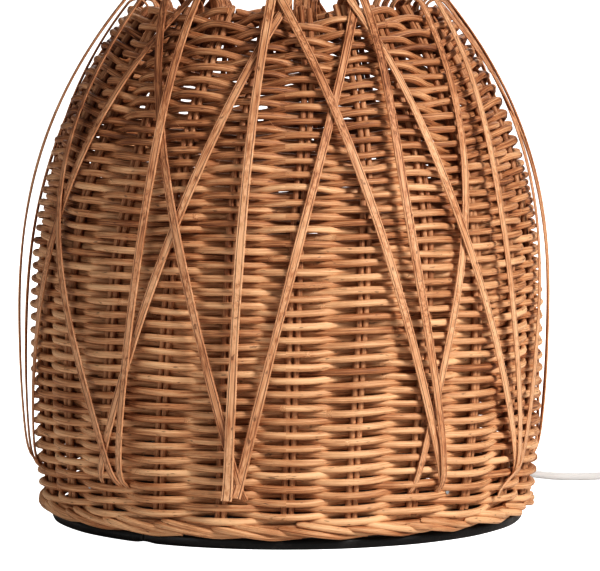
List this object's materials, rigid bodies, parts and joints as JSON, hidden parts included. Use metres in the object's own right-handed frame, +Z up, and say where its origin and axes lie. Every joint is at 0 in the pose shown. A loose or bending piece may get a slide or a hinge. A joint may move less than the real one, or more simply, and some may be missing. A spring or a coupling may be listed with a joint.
{
  "type": "woven lamp shade with base",
  "caption": "Woven round-cane dome lamp shade with crossing flat cane strips, open at the top, on a thin black base board with a lampholder, white cord, in-line switch and plug.",
  "frame": {"origin": "on the surface the lamp stands on, under the middle of the shade", "axes": "+Z up through the rim; -Y is the front in the view the shade is made from; the cord leaves towards +X and +Y"},
  "size_m": [0.5319, 0.3458, 0.3428],
  "materials": {
    "round_rattan": "natural round cane, lightly oiled",
    "stake_rattan": "natural round cane",
    "flat_cane": "split cane with long grain",
    "black_board": "black painted board",
    "black_edging": "satin black edging",
    "zinc_steel": "zinc plated",
    "holder_plastic": "moulded black",
    "porcelain": "glazed porcelain",
    "brass": "plain brass",
    "cord_plastic": "white flexible sheath",
    "switch_plastic": "white moulded",
    "pin_metal": "nickel plated"
  },
  "bodies": {
    "lamp": {"weave_band_1": "round_rattan", "weave_band_2": "round_rattan", "weave_band_3": "round_rattan", "weave_band_4": "round_rattan", "weave_band_5": "round_rattan", "weave_band_6": "round_rattan", "weave_band_7": "round_rattan", "weave_band_8": "round_rattan", "stake_set_01": "stake_rattan", "stake_set_02": "stake_rattan", "stake_set_03": "stake_rattan", "stake_set_04": "stake_rattan", "stake_set_05": "stake_rattan", "stake_set_06": "stake_rattan", "stake_set_07": "stake_rattan", "stake_set_08": "stake_rattan", "stake_set_09": "stake_rattan", "stake_set_10": "stake_rattan", "stake_set_11": "stake_rattan", "stake_set_12": "stake_rattan", "strip_bunch_01": "flat_cane", "strip_bunch_02": "flat_cane", "strip_bunch_03": "flat_cane", "strip_bunch_04": "flat_cane", "strip_bunch_05": "flat_cane", "strip_bunch_06": "flat_cane", "strip_bunch_07": "flat_cane", "strip_bunch_08": "flat_cane", "strip_bunch_09": "flat_cane", "strip_bunch_10": "flat_cane", "foot_border": "round_rattan", "base_board": "black_board", "edging_strip": "black_edging", "base_brackets": "zinc_steel", "bracket_screws": "zinc_steel", "holder_base": "holder_plastic", "holder_shell": "holder_plastic", "porcelain_insert": "porcelain", "screw_sleeve": "brass", "centre_contact": "brass", "holder_screws": "zinc_steel", "cord_grip": "cord_plastic", "inner_lead": "cord_plastic", "switch_base": "switch_plastic", "switch_cover": "switch_plastic", "plug_body": "switch_plastic", "plug_pins": "pin_metal", "cord_to_switch": "cord_plastic", "cord_to_coil": "cord_plastic", "cord_to_plug": "cord_plastic", "cord_coil": "cord_plastic"},
    "rocker": {"rocker": "switch_plastic"}
  },
  "joints": [
    {"name": "rocker_tilt", "type": "hinge", "parent": "lamp", "child": "rocker", "pos_m": [0.26954, 0.14339, 0.0149], "axis": [0.1736, 0.9848, 0], "range_deg": [0, 16]}
  ]
}
